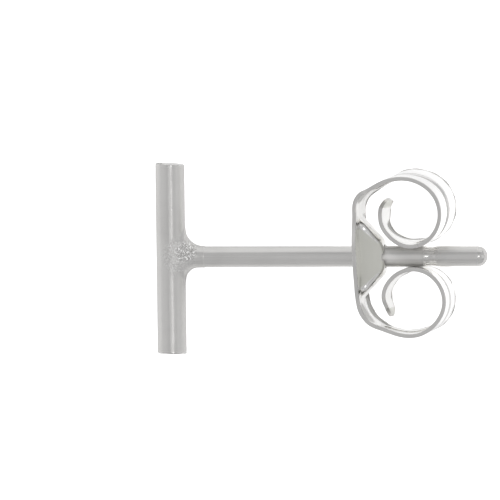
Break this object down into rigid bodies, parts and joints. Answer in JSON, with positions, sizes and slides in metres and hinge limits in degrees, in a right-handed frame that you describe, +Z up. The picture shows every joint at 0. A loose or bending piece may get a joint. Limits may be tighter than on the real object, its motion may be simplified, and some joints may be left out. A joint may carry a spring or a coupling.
{
  "type": "straight bar stud earring with a butterfly back",
  "caption": "Round straight bar soldered across the end of a round ear post, with a sprung butterfly back that slides along the post.",
  "frame": {"origin": "on the surface that the stud lies on, under the middle of its box", "axes": "+X from the bar towards the post's tip, +Y along the bar, +Z up; the post rises towards its tip by 9.4 degrees, because the back lifts it"},
  "size_m": [0.0122, 0.007, 0.0036],
  "materials": {
    "drawn_silver": "sterling silver, drawn along its length and softly polished, with a rough solder joint",
    "stamped_silver": "sterling silver sheet, bright rolled faces and dull sheared edges"
  },
  "bodies": {
    "stud": {"bar_and_post": "drawn_silver"},
    "back": {"butterfly_back": "stamped_silver"}
  },
  "joints": [
    {"name": "back_slide", "type": "slide", "parent": "stud", "child": "back", "axis": [0.9865, 0, 0.1636], "range_m": [-0.00625, 0.006]}
  ]
}
